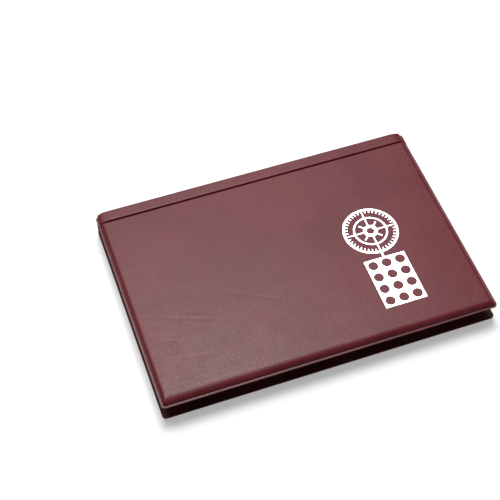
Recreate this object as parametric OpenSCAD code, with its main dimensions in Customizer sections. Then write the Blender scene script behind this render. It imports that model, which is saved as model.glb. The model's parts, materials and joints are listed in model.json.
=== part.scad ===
// A closed pocket album for coins: two padded vinyl covers, a soft spine and clear pocket pages.
// The origin is the bottom centre. +X runs along the spine to the head, +Y to the spine, +Z up.
// The album lies on its back cover. The front cover is the back cover's mirror image.

/* [Album] */
// Length along the spine, from tail to head
album_length = 180; // [165:1:220]
// Width from the fore-edge to the back of the spine
album_width = 125; // [110:1:160]
// Corner radius of the covers' welded rim, seen from above
corner_radius = 2; // [1.5:0.1:4]
// Number of clear pages
page_count = 10; // [6:1:14]
// Height that each page takes in the closed album
page_pitch = 0.95; // [0.7:0.01:1]

/* [Covers] */
// Thickness of the outer vinyl skin
skin_thickness = 0.4; // [0.3:0.05:0.5]
// Thickness of the inner vinyl lining
lining_thickness = 0.3; // [0.25:0.05:0.35]
// Thickness of the grey board in each cover
board_thickness = 1.5; // [1.3:0.1:1.8]
// Thickness of the foam over each board
foam_thickness = 0.9; // [0.8:0.1:1.2]
// Width of the flat welded rim round each cover
rim_width = 1.3; // [1:0.1:2]
// Width of the padding's roll-off along the fore-edge
fore_roll = 4.4; // [3:0.1:6]
// Width of the padding's roll-off at the head and the tail
end_roll = 2.6; // [2.4:0.1:4]

/* [Spine and hinges] */
// Distance from the back of the spine to the weld groove that the cover bends along
groove_inset = 7.5; // [7:0.1:10]
// Depth of the groove, from the top of the padding down to the weld
groove_depth = 1; // [0.9:0.05:1.2]
// Half the width of the flat weld at the bottom of the groove
groove_half = 0.4; // [0.35:0.05:0.6]
// Radius of the padding's edge on each side of the groove
groove_round = 0.8; // [0.6:0.05:1]
// Radius of the soft fold between a cover band and the spine
fold_radius = 1.2; // [1:0.05:1.3]
// Length that the padding of the bands and the spine takes to go flat at the head and the tail
spine_roll = 6; // [4:0.5:8]
// Thickness of the soft pad inside the spine
spine_pad_thickness = 1.2; // [0.8:0.1:1.4]
// Thickness of the strip that the pages are welded to
strip_thickness = 0.5; // [0.4:0.1:0.8]
// Running gap where two stiff pieces meet at a soft hinge
hinge_gap = 0.3; // [0.2:0.05:0.4]

/* [Pages] */
// Thickness of each clear film
film_thickness = 0.2; // [0.15:0.01:0.22]
// Space for a coin between the two films of an empty page
pocket_gap = 0.1; // [0.08:0.01:0.12]
// Distance from the page's edges to the cover's edges at the head, tail and fore-edge
page_inset = 6; // [5:0.5:9]
// Pockets along the page, from tail to head
pocket_rows = 4; // [3:1:6]
// Pockets across the page
pocket_columns = 3; // [2:1:4]
// Width of the weld lines between the pockets
weld_line = 1.2; // [0.8:0.1:2]
// Width of the slit that a coin goes in through
mouth_slit = 0.8; // [0.5:0.1:1.5]
// Radius of the thumb notch at each pocket's mouth
notch_radius = 6; // [4:0.5:8]

/* [Foil ornament] */
// Radius of the stamped coin
coin_radius = 15; // [10:0.5:16]
// Number of reeds round the stamped coin
reed_count = 40; // [24:2:60]
// Distance between the openings of the stamped coin tray
tray_cell = 7.6; // [4:0.2:7.6]
// Depth that the foil is pressed into the skin
foil_depth = 0.1; // [0.05:0.01:0.15]

/* [Hidden] */
$fn = 96;

// Heights inside one cover, counted outwards from its lining
weld_thickness = skin_thickness + lining_thickness;
board_top = lining_thickness + board_thickness;
foam_top = board_top + foam_thickness;
cover_thickness = foam_top + skin_thickness;
padding_drop = cover_thickness - weld_thickness;
head_roll = max(end_roll, padding_drop);

// Heights and places round the weld groove
groove_y = album_width / 2 - groove_inset;
groove_rise = padding_drop - groove_depth;
groove_floor = groove_rise + weld_thickness;
ramp_start = groove_y - 2;
fold_y = album_width / 2 - fold_radius;
fold_h = cover_thickness - fold_radius;
band_end = fold_y - fold_radius - 0.1;

// Heights in the closed album
album_thickness = 2 * cover_thickness + page_count * page_pitch;
page_thickness = 2 * film_thickness + pocket_gap;
spine_low = fold_radius * 2 + hinge_gap;
spine_high = album_thickness - spine_low;
spine_height = spine_high - spine_low;

// The layers of the spine, from the outside in
spine_skin_y = album_width / 2 - skin_thickness;
spine_pad_y = spine_skin_y - spine_pad_thickness;
spine_lining_y = spine_pad_y - lining_thickness;
strip_y = spine_lining_y - strip_thickness;

// The pages
page_length = album_length - 2 * page_inset;
page_fore_y = -album_width / 2 + page_inset + 0.5;
page_root_y = strip_y - 2.4;
page_margin = 3;
binding_margin = 7;
pocket_length = (page_length - 2 * page_margin) / pocket_rows;
pocket_first_x = -page_length / 2 + page_margin;
pocket_first_y = page_fore_y + page_margin;
pocket_width = (page_root_y - binding_margin - pocket_first_y) / pocket_columns;
mouth_back = 2.4;

// Colours
burgundy = [0.45, 0.2, 0.22];
lining_burgundy = [0.3, 0.12, 0.14];
foam_white = [0.9, 0.88, 0.8];
board_grey = [0.56, 0.52, 0.46];
clear_film = [0.86, 0.9, 0.92, 0.4];
milky_film = [0.8, 0.82, 0.84];
silver_foil = [0.8, 0.8, 0.83];

function two_digits(k) = str(k < 10 ? "0" : "", k);
function back_film_name(k) = str("page_", two_digits(k), "_back_film");
function pocket_film_name(k) = str("page_", two_digits(k), "_pocket_film");
// Height of the middle of page k, counted from the back cover
function page_z(k) = cover_thickness + page_pitch * (k - 0.5);
// Radius of the arc that is level at its top and falls by drop over width
function shoulder_radius(width, drop) = (width * width + drop * drop) / (2 * drop);

// ---- Helpers

// Stands a cross-section drawn in (y, height) up and runs it along the whole album.
module run_along_x(length = album_length) {
    translate([-length / 2, 0, 0])
        rotate([90, 0, 90])
            linear_extrude(length)
                children();
}

// Stands a cross-section drawn in (x, height) up and runs it from one y to another.
module run_along_y(y_from, y_to) {
    translate([0, y_to, 0])
        rotate([90, 0, 0])
            linear_extrude(y_to - y_from)
                children();
}

// The album's outline seen from above, with its rounded corners.
module outline(height, inset = 0) {
    x = album_length / 2 - inset;
    y = album_width / 2 - inset;
    r = corner_radius;
    linear_extrude(height) {
        translate([-x + r, -y])
            square([2 * (x - r), 2 * y]);
        translate([-x, -y + r])
            square([2 * x, 2 * (y - r)]);
        for (side_x = [-1, 1], side_y = [-1, 1])
            translate([side_x * (x - r), side_y * (y - r)])
                circle(r);
    }
}

// One round shoulder of padding. Its body lies towards side, and inset gives the skin's inner face.
module shoulder(edge, roll, low, top, side, inset = 0, base = 0) {
    radius = shoulder_radius(roll, top - low);
    intersection() {
        translate([edge + side * roll, top - radius])
            circle(radius - inset);
        translate([side > 0 ? edge : edge - roll, base])
            square([roll, top - base]);
    }
}

// Padding seen from its end: level on top, with a round shoulder at each edge.
module padding(left, right, left_roll, right_roll, low, top, inset = 0, base = 0) {
    translate([left + left_roll, base])
        square([right - left - left_roll - right_roll, top - inset - base]);
    shoulder(left, left_roll, low, top, 1, inset, base);
    shoulder(right, right_roll, low, top, -1, inset, base);
}

// The same padding along the album, which rounds its head and tail.
module end_padding(y_from, y_to, roll, low, inset = 0) {
    half = album_length / 2 - rim_width;
    run_along_y(y_from, y_to)
        padding(-half, half, roll, roll, low, cover_thickness, inset);
}

// A sheet that lies along the cover's lining and rises to the weld in the groove.
module cover_sheet(low, high, gap) {
    fore = -album_width / 2;
    weld_y = groove_y - groove_half;
    run_along_x()
        polygon([
            [fore, low],
            [ramp_start, low],
            [weld_y, groove_rise + low],
            [groove_y - gap, groove_rise + low],
            [groove_y - gap, groove_rise + high],
            [weld_y, groove_rise + high],
            [ramp_start, high],
            [fore, high]
        ]);
}

// Everything under the top of the cover's lining.
module under_lining() {
    cover_sheet(-cover_thickness, lining_thickness, 0);
}

// ---- Cover layers, drawn with the lining at height 0 and the outside up

// The room inside the padding, or with inset 0 the padding's outside.
module cover_padding(inset) {
    wall_y = groove_y - groove_half;
    fore = -album_width / 2 + rim_width;
    intersection() {
        run_along_x() {
            translate([fore + fore_roll, 0])
                square([wall_y - groove_round - fore - fore_roll, cover_thickness - inset]);
            shoulder(fore, fore_roll, weld_thickness, cover_thickness, 1, inset);
            shoulder(
                wall_y, groove_round, cover_thickness - groove_round, cover_thickness, -1,
                inset, cover_thickness - groove_round
            );
            translate([wall_y - groove_round, 0])
                square([groove_round - inset, cover_thickness - groove_round]);
        }
        end_padding(-album_width / 2, album_width / 2, head_roll, weld_thickness, inset);
    }
}

module cover_skin(gap) {
    difference() {
        union() {
            intersection() {
                cover_sheet(lining_thickness, weld_thickness, gap);
                outline(cover_thickness);
            }
            difference() {
                cover_padding(0);
                under_lining();
            }
        }
        difference() {
            cover_padding(skin_thickness);
            under_lining();
        }
    }
}

module cover_foam() {
    intersection() {
        cover_padding(skin_thickness);
        translate([-album_length / 2, -album_width / 2, board_top])
            cube([album_length, album_width, foam_thickness]);
    }
}

module cover_board() {
    edge = rim_width + 1.7;
    board_end = groove_y - 2.4;
    translate([0, 0, lining_thickness])
        intersection() {
            outline(board_thickness, edge);
            translate([-album_length / 2, -album_width / 2, 0])
                cube([album_length, board_end + album_width / 2, board_thickness]);
        }
}

module cover_lining(gap) {
    intersection() {
        cover_sheet(0, lining_thickness, gap);
        outline(cover_thickness);
    }
}

// ---- The narrow band between the groove and the spine, drawn the same way up

// The band's padding from the groove wall to the fold, or with inset the room inside it.
module band_padding(inset) {
    wall_y = groove_y + groove_half;
    base = groove_rise + lining_thickness;
    intersection() {
        run_along_x() {
            translate([wall_y + groove_round, base])
                square([fold_y - wall_y - groove_round, cover_thickness - inset - base]);
            shoulder(
                wall_y, groove_round, cover_thickness - groove_round, cover_thickness, 1,
                inset, cover_thickness - groove_round
            );
            translate([wall_y + inset, base])
                square([groove_round - inset, cover_thickness - groove_round - base]);
        }
        end_padding(groove_y, album_width / 2, spine_roll, groove_floor, inset);
    }
}

// A flat sheet under the band's padding, level with the weld in the groove.
module band_sheet(low, high, gap) {
    run_along_x()
        translate([groove_y + gap, groove_rise + low])
            square([band_end - groove_y - gap, high - low]);
}

// The soft fold is a round rod, so that it fills the corner at every angle of the spine.
module fold_rod() {
    run_along_x()
        translate([fold_y, fold_h])
            circle(fold_radius);
}

module band_skin(gap) {
    intersection() {
        union() {
            difference() {
                union() {
                    band_padding(0);
                    band_sheet(lining_thickness, weld_thickness, gap);
                }
                band_padding(skin_thickness);
            }
            intersection() {
                fold_rod();
                end_padding(groove_y, album_width / 2, spine_roll, groove_floor);
            }
        }
        outline(cover_thickness);
    }
}

module band_lining(gap) {
    intersection() {
        band_sheet(0, lining_thickness, gap);
        outline(cover_thickness);
    }
}

module band_pad() {
    intersection() {
        band_padding(skin_thickness);
        band_sheet(lining_thickness, cover_thickness, 0);
    }
}

// ---- Placing a cover's layers

module as_back_cover() {
    translate([0, 0, cover_thickness])
        mirror([0, 0, 1])
            children();
}

module as_front_cover() {
    translate([0, 0, album_thickness - cover_thickness])
        children();
}

module back_cover_skin() {
    color(burgundy)
        as_back_cover() {
            cover_skin(0);
            band_skin(0);
        }
}

module back_foam_pad() {
    color(foam_white)
        as_back_cover()
            cover_foam();
}

module back_board() {
    color(board_grey)
        as_back_cover()
            cover_board();
}

module back_lining() {
    color(lining_burgundy)
        as_back_cover() {
            cover_lining(0);
            band_lining(0);
        }
}

module back_band_pad() {
    color(foam_white)
        as_back_cover()
            band_pad();
}

module front_band_skin() {
    color(burgundy)
        as_front_cover()
            band_skin(hinge_gap / 2);
}

module front_band_pad() {
    color(foam_white)
        as_front_cover()
            band_pad();
}

module front_band_lining() {
    color(lining_burgundy)
        as_front_cover()
            band_lining(hinge_gap / 2);
}

module front_cover_skin() {
    color(burgundy)
        difference() {
            as_front_cover()
                cover_skin(hinge_gap / 2);
            foil_ornament();
        }
}

module front_foam_pad() {
    color(foam_white)
        as_front_cover()
            cover_foam();
}

module front_board() {
    color(board_grey)
        as_front_cover()
            cover_board();
}

module front_lining() {
    color(lining_burgundy)
        as_front_cover()
            cover_lining(hinge_gap / 2);
}

// ---- The spine

// A layer of the spine. Its rim at the head and tail is pressed down to the lining.
module spine_layer(low_y, inset) {
    half = album_length / 2 - rim_width;
    rim_y = spine_pad_y + skin_thickness;
    translate([0, 0, spine_low])
        linear_extrude(spine_height)
            padding(-half, half, spine_roll, spine_roll, rim_y, album_width / 2, inset, low_y);
}

module spine_skin() {
    color(burgundy)
        difference() {
            union() {
                spine_layer(spine_pad_y, 0);
                translate([-album_length / 2, spine_pad_y, spine_low])
                    cube([album_length, skin_thickness, spine_height]);
            }
            spine_layer(spine_pad_y, skin_thickness);
        }
}

module spine_pad() {
    color(foam_white)
        spine_layer(spine_pad_y, skin_thickness);
}

module spine_lining() {
    color(lining_burgundy)
        translate([-album_length / 2, spine_lining_y, spine_low])
            cube([album_length, lining_thickness, spine_height]);
}

// The strip carries one short stub for each page, which the page's soft root grows from.
module page_binding_strip() {
    stub_length = 0.8;
    color(milky_film)
        translate([-page_length / 2, 0, 0]) {
            translate([0, strip_y, spine_low + 0.2])
                cube([page_length, strip_thickness, spine_height - 0.4]);
            for (k = [1:page_count])
                translate([0, strip_y - stub_length, page_z(k) - film_thickness])
                    cube([page_length, stub_length, 2 * film_thickness]);
        }
}

// ---- The pages

// The page seen from above, with rounded corners at the fore-edge.
module page_shape() {
    r = 3;
    half = page_length / 2;
    translate([-half, page_fore_y + r])
        square([page_length, page_root_y - page_fore_y - r]);
    translate([-half + r, page_fore_y])
        square([page_length - 2 * r, r]);
    for (side = [-1, 1])
        translate([side * (half - r), page_fore_y + r])
            circle(r);
}

// The slit at a pocket's head end and the half-moon notch for a thumb.
module pocket_mouth(row, column) {
    slit_x = pocket_first_x + (row + 1) * pocket_length - mouth_back - mouth_slit;
    low_y = pocket_first_y + column * pocket_width;
    side = weld_line + 0.8;
    translate([slit_x, low_y + side])
        square([mouth_slit, pocket_width - 2 * side]);
    intersection() {
        translate([slit_x, low_y + pocket_width / 2])
            circle(notch_radius);
        translate([slit_x - notch_radius, low_y])
            square([notch_radius + mouth_slit / 2, pocket_width]);
    }
}

// The weld lines that join the two films round every pocket, and the wide one at the binding.
module weld_lines() {
    pockets_end_y = pocket_first_y + pocket_columns * pocket_width;
    for (row = [0:pocket_rows])
        translate([pocket_first_x + row * pocket_length - weld_line / 2, pocket_first_y])
            square([weld_line, pockets_end_y - pocket_first_y]);
    for (column = [0:pocket_columns])
        translate([pocket_first_x, pocket_first_y + column * pocket_width - weld_line / 2])
            square([pocket_rows * pocket_length, weld_line]);
    translate([-page_length / 2, pockets_end_y])
        square([page_length, page_root_y - pockets_end_y]);
}

module page_back_film(k) {
    color(clear_film)
        translate([0, 0, page_z(k) - page_thickness / 2])
            linear_extrude(film_thickness)
                page_shape();
}

module page_pocket_film(k) {
    color(clear_film)
        translate([0, 0, page_z(k) + page_thickness / 2 - film_thickness]) {
            linear_extrude(film_thickness)
                difference() {
                    page_shape();
                    for (row = [0:pocket_rows - 1], column = [0:pocket_columns - 1])
                        pocket_mouth(row, column);
                }
            translate([0, 0, -pocket_gap])
                linear_extrude(pocket_gap)
                    weld_lines();
        }
}

// ---- The foil ornament: a reeded coin and a coin tray, joined by a short bar

module ring(outer, inner) {
    difference() {
        circle(outer);
        circle(inner);
    }
}

module stamped_coin() {
    rim = 1.2;
    reed = 1.6;
    ring(coin_radius, coin_radius - rim);
    for (i = [0:reed_count - 1])
        rotate(i * 360 / reed_count)
            translate([coin_radius - rim - reed, -0.3])
                square([reed + rim / 2, 0.6]);
    ring(coin_radius * 0.62, coin_radius * 0.56);
    for (i = [0:7])
        rotate(i * 45)
            translate([coin_radius * 0.2, -0.35])
                square([coin_radius * (i % 2 == 0 ? 0.75 : 0.38), 0.7]);
    ring(coin_radius * 0.26, coin_radius * 0.14);
}

// The tray is a plate with rows of round openings.
module stamped_tray() {
    tie_width = 1;
    rows = 4;
    columns = 3;
    tray_x = coin_radius + 3;
    half = columns * tray_cell / 2;
    translate([coin_radius - 0.6, -tie_width / 2])
        square([tray_x - coin_radius + 1.2, tie_width]);
    difference() {
        translate([tray_x, -half])
            square([rows * tray_cell, 2 * half]);
        for (row = [0:rows - 1], column = [0:columns - 1])
            translate([tray_x + tray_cell * (row + 0.5), tray_cell * (column + 0.5) - half])
                circle(tray_cell * 0.36);
    }
}

// The ornament reads from the spine towards the fore-edge.
module foil_ornament() {
    color(silver_foil)
        translate([46, 2, album_thickness - foil_depth])
            rotate(-90)
                linear_extrude(foil_depth) {
                    stamped_coin();
                    stamped_tray();
                }
}

// ---- The assembly

back_cover_skin();
back_foam_pad();
back_board();
back_lining();
back_band_pad();
spine_skin();
spine_pad();
spine_lining();
page_binding_strip();
front_band_skin();
front_band_pad();
front_band_lining();
front_cover_skin();
front_foam_pad();
front_board();
front_lining();
foil_ornament();
for (k = [1:page_count]) {
    page_back_film(k);
    page_pocket_film(k);
}
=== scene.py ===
import json
import math

import bpy
import numpy as np
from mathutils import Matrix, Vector, geometry, noise
from mathutils.bvhtree import BVHTree

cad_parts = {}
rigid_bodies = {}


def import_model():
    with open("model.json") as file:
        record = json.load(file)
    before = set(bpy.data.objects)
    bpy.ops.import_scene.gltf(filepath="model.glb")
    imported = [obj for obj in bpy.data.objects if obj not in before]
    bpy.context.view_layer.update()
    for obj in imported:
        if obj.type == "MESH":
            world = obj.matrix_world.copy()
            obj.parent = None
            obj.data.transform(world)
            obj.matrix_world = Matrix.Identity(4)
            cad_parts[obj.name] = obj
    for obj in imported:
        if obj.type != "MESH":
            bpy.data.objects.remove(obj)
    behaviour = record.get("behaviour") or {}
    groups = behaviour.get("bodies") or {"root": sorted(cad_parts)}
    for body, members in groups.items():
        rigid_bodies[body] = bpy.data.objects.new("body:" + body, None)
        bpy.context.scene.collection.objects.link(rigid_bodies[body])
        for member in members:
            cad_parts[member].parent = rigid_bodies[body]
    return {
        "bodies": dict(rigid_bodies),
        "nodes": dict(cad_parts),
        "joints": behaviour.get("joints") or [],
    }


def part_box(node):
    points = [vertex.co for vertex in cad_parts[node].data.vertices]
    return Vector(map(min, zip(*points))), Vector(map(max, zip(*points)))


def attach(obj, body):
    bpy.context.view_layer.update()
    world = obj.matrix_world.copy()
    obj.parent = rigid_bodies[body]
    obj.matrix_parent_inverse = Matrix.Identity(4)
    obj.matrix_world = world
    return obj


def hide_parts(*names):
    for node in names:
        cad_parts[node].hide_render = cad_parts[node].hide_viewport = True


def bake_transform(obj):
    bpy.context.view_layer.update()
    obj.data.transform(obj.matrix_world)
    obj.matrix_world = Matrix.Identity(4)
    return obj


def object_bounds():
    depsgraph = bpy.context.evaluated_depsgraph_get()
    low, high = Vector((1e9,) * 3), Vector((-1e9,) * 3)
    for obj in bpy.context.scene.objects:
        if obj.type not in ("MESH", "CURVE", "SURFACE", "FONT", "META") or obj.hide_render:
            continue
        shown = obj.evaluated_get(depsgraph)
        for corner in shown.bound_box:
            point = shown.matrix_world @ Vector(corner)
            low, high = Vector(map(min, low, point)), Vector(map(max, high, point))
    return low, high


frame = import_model()
cad_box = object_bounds()

# ---- Sizes in metres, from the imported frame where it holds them

MM = 0.001
low_corner, high_corner = cad_box
joint_at = {joint["name"]: Vector(joint["pos_m"]) for joint in frame["joints"]}

END_X = high_corner.x
FORE_Y = low_corner.y
SPINE_Y = high_corner.y
TOP_Z = high_corner.z
MID_Z = TOP_Z / 2

# The vinyl's thicknesses, and the outline of the covers
SKIN = 0.4 * MM
LINING = 0.3 * MM
WELD = SKIN + LINING
RIM = 1.05 * MM
OUTLINE_CORNER = 2 * MM

# Widths over which the padding rolls off: fore-edge at its two ends, ends of the panel, ends of the spine
FORE_ROLL_TAIL = 6.2 * MM
FORE_ROLL_HEAD = 3 * MM
END_ROLL = 2.6 * MM
SPINE_ROLL = 6 * MM

# Exponent of the shoulder's curve: 2 is a quarter of an ellipse, and more is squarer
ROLL_SQUARENESS = 2.2

# The soft folds beside the spine, and how small they are where the ends are pressed flat
FOLD = 1.2 * MM
PINCH = 0.55 * MM
LINING_PINCH = 0.4 * MM
FOLD_Y = joint_at["front_fold"].y
FOLD_Z = joint_at["front_fold"].z

# The weld groove that the cover bends along
GROOVE_Y = joint_at["front_cover_hinge"].y
WELD_Z = joint_at["front_cover_hinge"].z
GROOVE_HALF = 0.3 * MM
GROOVE_ROUND = 0.65 * MM
PANEL_WALL = GROOVE_Y - GROOVE_HALF
BAND_WALL = GROOVE_Y + GROOVE_HALF

# Where the weld begins to rise towards the groove, and where the two meshes of the band meet
RAMP_START = GROOVE_Y - 2 * MM
BAND_SEAM = GROOVE_Y + 3.5 * MM

# Heights on the front cover: the lining's inner face, the welded rim, and the rim at the band's ends
LINING_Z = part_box("front_lining")[0].z
RIM_Z = LINING_Z + WELD
BAND_LIFT = 0.6 * MM
BAND_RIM_Z = RIM_Z + BAND_LIFT
SPINE_LINING_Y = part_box("spine_lining")[0].y

# How far the padding swells, and how its shoulders meet at the corners
CROWN = 0.5 * MM
SPINE_BULGE = 0.35 * MM
CORNER_SHARPNESS = 7

# The columns stand closer together within this distance of the rim, and rows do so over the roll-off.
# An exponent of 1 would space them evenly, and more crowds them towards the rim.
ROLL_ZONE = 9 * MM
COLUMN_CROWDING = 1.6
ROW_CROWDING = 1.8

# Width of the pale line along the cut edge of the rim, which is wear and a painted highlight
EDGE_LINE = 0.4 * MM


# ---- Padding

def spread(start, end, count):
    """count + 1 evenly spaced numbers from start to end."""
    return [start + (end - start) * i / count for i in range(count + 1)]


def roll_off(distance, width):
    """Height share, 0 to 1, of a shoulder that is steep at its foot and level after its width."""
    share = min(max(distance / width, 0), 1)
    return (1 - (1 - share) ** ROLL_SQUARENESS) ** (1 / ROLL_SQUARENESS)


def fore_roll(x):
    """Width of the roll-off along the fore-edge, which is wider at the tail than at the head."""
    towards_head = (x + END_X) / (2 * END_X)
    return FORE_ROLL_TAIL + (FORE_ROLL_HEAD - FORE_ROLL_TAIL) * towards_head


def soft_minimum(a, b):
    """Joins two shoulders, so that the padding has the rounded corner of foam under vinyl."""
    if a >= 1 or b >= 1:
        return min(a, b)
    gap = (1 - a) ** CORNER_SHARPNESS + (1 - b) ** CORNER_SHARPNESS
    return max(0.0, 1 - gap ** (1 / CORNER_SHARPNESS))


class Row:
    """One line of a sheet along the album: its padded and its flat (y, z), and its share of the padding.

    from_foot is its distance from the foot of the fore-edge's roll-off, for a line that is near that.
    """

    def __init__(self, padded, flat, share=1.0, roll=END_ROLL, from_foot=None):
        self.padded = padded
        self.flat = flat
        self.share = share
        self.roll = roll
        self.from_foot = from_foot

    def share_at(self, x):
        return self.share if self.from_foot is None else roll_off(self.from_foot, fore_roll(x))


def round_corner(x, y, radius, near_spine):
    """Moves a point in the square of an outline's corner onto the corner's round."""
    centre_x = END_X - radius
    centre_y = FOLD_Y - radius if near_spine else FORE_Y + radius
    a = (abs(x) - centre_x) / radius
    b = (y - centre_y) / radius if near_spine else (centre_y - y) / radius
    if a <= 0 or b <= 0:
        return x, y
    scale = max(a, b) / math.hypot(a, b)
    new_y = centre_y + (b if near_spine else -b) * scale * radius
    return math.copysign(centre_x + a * scale * radius, x), new_y


def sheet_points(rows, columns, relief=None):
    """The points of a sheet, whose relief fades where the padding goes flat."""
    points = np.zeros((len(rows), len(columns), 3))
    for i, r in enumerate(rows):
        for j, x in enumerate(columns):
            end = roll_off(END_X - RIM - abs(x), r.roll)
            share = soft_minimum(r.share_at(x), end)
            part = share / r.share if r.share > 0 else 0
            y = r.flat[0] + (r.padded[0] - r.flat[0]) * part
            z = r.flat[1] + (r.padded[1] - r.flat[1]) * part
            if relief:
                z += relief(x, y) * share
            round_x, round_y = round_corner(x, y, OUTLINE_CORNER, y > 0)
            points[i, j] = (round_x, round_y, z)
    return points


def album_columns(count):
    """Places along the album, close together where the padding rolls off at its ends."""
    foot = END_X - RIM
    rim = spread(END_X, foot, 3)
    roll = [foot - ROLL_ZONE * t ** COLUMN_CROWDING for t in spread(0, 1, 15)][1:]
    half = rim + roll
    middle = spread(half[-1], -half[-1], count)[1:-1]
    return half + middle + [-x for x in reversed(half)]


def beside_groove(y, low, high):
    """A height that goes from low to high where the weld rises beside the groove."""
    rise = (y - RAMP_START) / (PANEL_WALL - RAMP_START)
    return low + (high - low) * min(max(rise, 0), 1)


def rim_height(y):
    """Height of the welded rim at the album's ends."""
    return beside_groove(y, RIM_Z, BAND_RIM_Z)


def spine_rows():
    """The outer half of the spine, from its middle line up to the fold."""
    flat_top = BAND_RIM_Z - PINCH
    rows = []
    for t in spread(0, 1, 9)[:-1]:
        bulge = SPINE_BULGE * (1 - t * t)
        padded = (SPINE_Y + bulge, MID_Z + (FOLD_Z - MID_Z) * t)
        flat = (FOLD_Y, MID_Z + (flat_top - MID_Z) * t)
        rows.append(Row(padded, flat, roll=SPINE_ROLL))
    return rows


def fold_rows():
    """The soft fold from the spine onto the band."""
    rows = []
    for angle in spread(0, math.pi / 2, 12):
        out, up = math.cos(angle), math.sin(angle)
        padded = (FOLD_Y + FOLD * out, FOLD_Z + FOLD * up)
        flat = (FOLD_Y - PINCH + PINCH * out, BAND_RIM_Z - PINCH + PINCH * up)
        rows.append(Row(padded, flat, roll=SPINE_ROLL))
    return rows


def band_rows(start, end, count):
    """The level top of the band, between two y."""
    shift = PINCH / (FOLD_Y - BAND_WALL - GROOVE_ROUND)
    rows = []
    for y in spread(start, end, count):
        flat_y = y - shift * (y - BAND_WALL - GROOVE_ROUND)
        rows.append(Row((y, TOP_Z), (flat_y, BAND_RIM_Z), roll=SPINE_ROLL))
    return rows


def groove_edge_rows(wall, side, roll):
    """The padding's rounded edge and wall beside the groove, from the top down to the weld."""
    centre_z = TOP_Z - GROOVE_ROUND
    centre_y = wall + side * GROOVE_ROUND
    path = []
    for angle in spread(0, math.pi / 2, 8)[1:]:
        y = centre_y - side * GROOVE_ROUND * math.sin(angle)
        path.append((y, centre_z + GROOVE_ROUND * math.cos(angle)))
    path.append((wall, (centre_z + WELD_Z) / 2))
    rows = []
    for y, z in path:
        base = rim_height(y)
        rows.append(Row((y, z), (y, base), (z - base) / (TOP_Z - base), roll))
    return rows


def weld_rows():
    """The floor of the groove, which falls to the rim at both ends."""
    share = (WELD_Z - BAND_RIM_Z) / (TOP_Z - BAND_RIM_Z)
    places = spread(BAND_WALL, PANEL_WALL, 6)
    rolls = spread(SPINE_ROLL, END_ROLL, 6)
    return [Row((y, WELD_Z), (y, BAND_RIM_Z), share, roll) for y, roll in zip(places, rolls)]


def panel_rows(count):
    """The panel from the groove to the fore-edge rim."""
    edge = groove_edge_rows(PANEL_WALL, -1, END_ROLL)
    rows = list(reversed(edge))
    foot = FORE_Y + RIM
    for y in spread(PANEL_WALL - GROOVE_ROUND, foot + FORE_ROLL_TAIL, count):
        rows.append(Row((y, TOP_Z), (y, rim_height(y))))
    for t in spread(1, 0, 18)[1:]:
        distance = FORE_ROLL_TAIL * t ** ROW_CROWDING
        rows.append(Row((foot + distance, TOP_Z), (foot + distance, RIM_Z), from_foot=distance))
    for y in spread(foot, FORE_Y, 3)[1:]:
        rows.append(Row((y, RIM_Z), (y, RIM_Z), 0))
    return rows


def lining_spine_rows():
    """The inner lining from the middle of the spine round the corner to the band."""
    radius, pinch = FOLD, LINING_PINCH
    full_z, flat_z = WELD_Z - WELD - radius, BAND_RIM_Z - WELD - pinch
    rows = []
    for t in spread(0, 1, 8)[:-1]:
        full = (SPINE_LINING_Y, MID_Z + (full_z - MID_Z) * t)
        flat = (SPINE_LINING_Y, MID_Z + (flat_z - MID_Z) * t)
        rows.append(Row(full, flat, roll=SPINE_ROLL))
    for angle in spread(0, math.pi / 2, 8):
        out, up = math.cos(angle) - 1, math.sin(angle)
        full = (SPINE_LINING_Y + radius * out, full_z + radius * up)
        flat = (SPINE_LINING_Y + pinch * out, flat_z + pinch * up)
        rows.append(Row(full, flat, roll=SPINE_ROLL))
    return rows


def lining_rows(places):
    """The inner lining of the band and the cover, at the given y."""
    rows = []
    for y in places:
        middle = beside_groove(y, RIM_Z, WELD_Z) - WELD
        rows.append(Row((y, middle), (y, rim_height(y) - WELD), roll=SPINE_ROLL))
    return rows


def lining_cover_places():
    """The lining's places from the groove's weld to the fore-edge."""
    places = spread(BAND_WALL, PANEL_WALL, 6)
    places += spread(PANEL_WALL, RAMP_START, 3)[1:]
    places += spread(RAMP_START, FORE_Y + OUTLINE_CORNER, 30)[1:]
    return places + spread(FORE_Y + OUTLINE_CORNER, FORE_Y, 4)[1:]


def turned_over(points):
    """The same sheet on the back cover. Its rows run the other way, so that it stays the right way out."""
    mirrored = points.copy()
    mirrored[..., 2] = TOP_Z - mirrored[..., 2]
    return mirrored[::-1]


# ---- Meshes

def link(name, mesh, *materials):
    """Makes an object from a mesh whose vertices are in place."""
    obj = bpy.data.objects.new(name, mesh)
    bpy.context.scene.collection.objects.link(obj)
    for material in materials:
        mesh.materials.append(material)
    return obj


def store_rest(mesh, wear_and_highlight=None):
    """Keeps each vertex's rest place for the materials, and how much it is worn and lit by a painted
    highlight.
    """
    places = np.zeros(len(mesh.vertices) * 3)
    mesh.vertices.foreach_get("co", places)
    mesh.attributes.new("rest", "FLOAT_VECTOR", "POINT").data.foreach_set("vector", places)
    if wear_and_highlight is None:
        wear_and_highlight = np.zeros(len(mesh.vertices))
    mesh.attributes.new("wear_and_highlight", "FLOAT", "POINT").data.foreach_set("value", wear_and_highlight)


def grid_normals(points):
    along_rows = np.gradient(points, axis=0)
    along_columns = np.gradient(points, axis=1)
    normals = np.cross(along_columns, along_rows)
    return normals / np.maximum(np.linalg.norm(normals, axis=2, keepdims=True), 1e-12)


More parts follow.
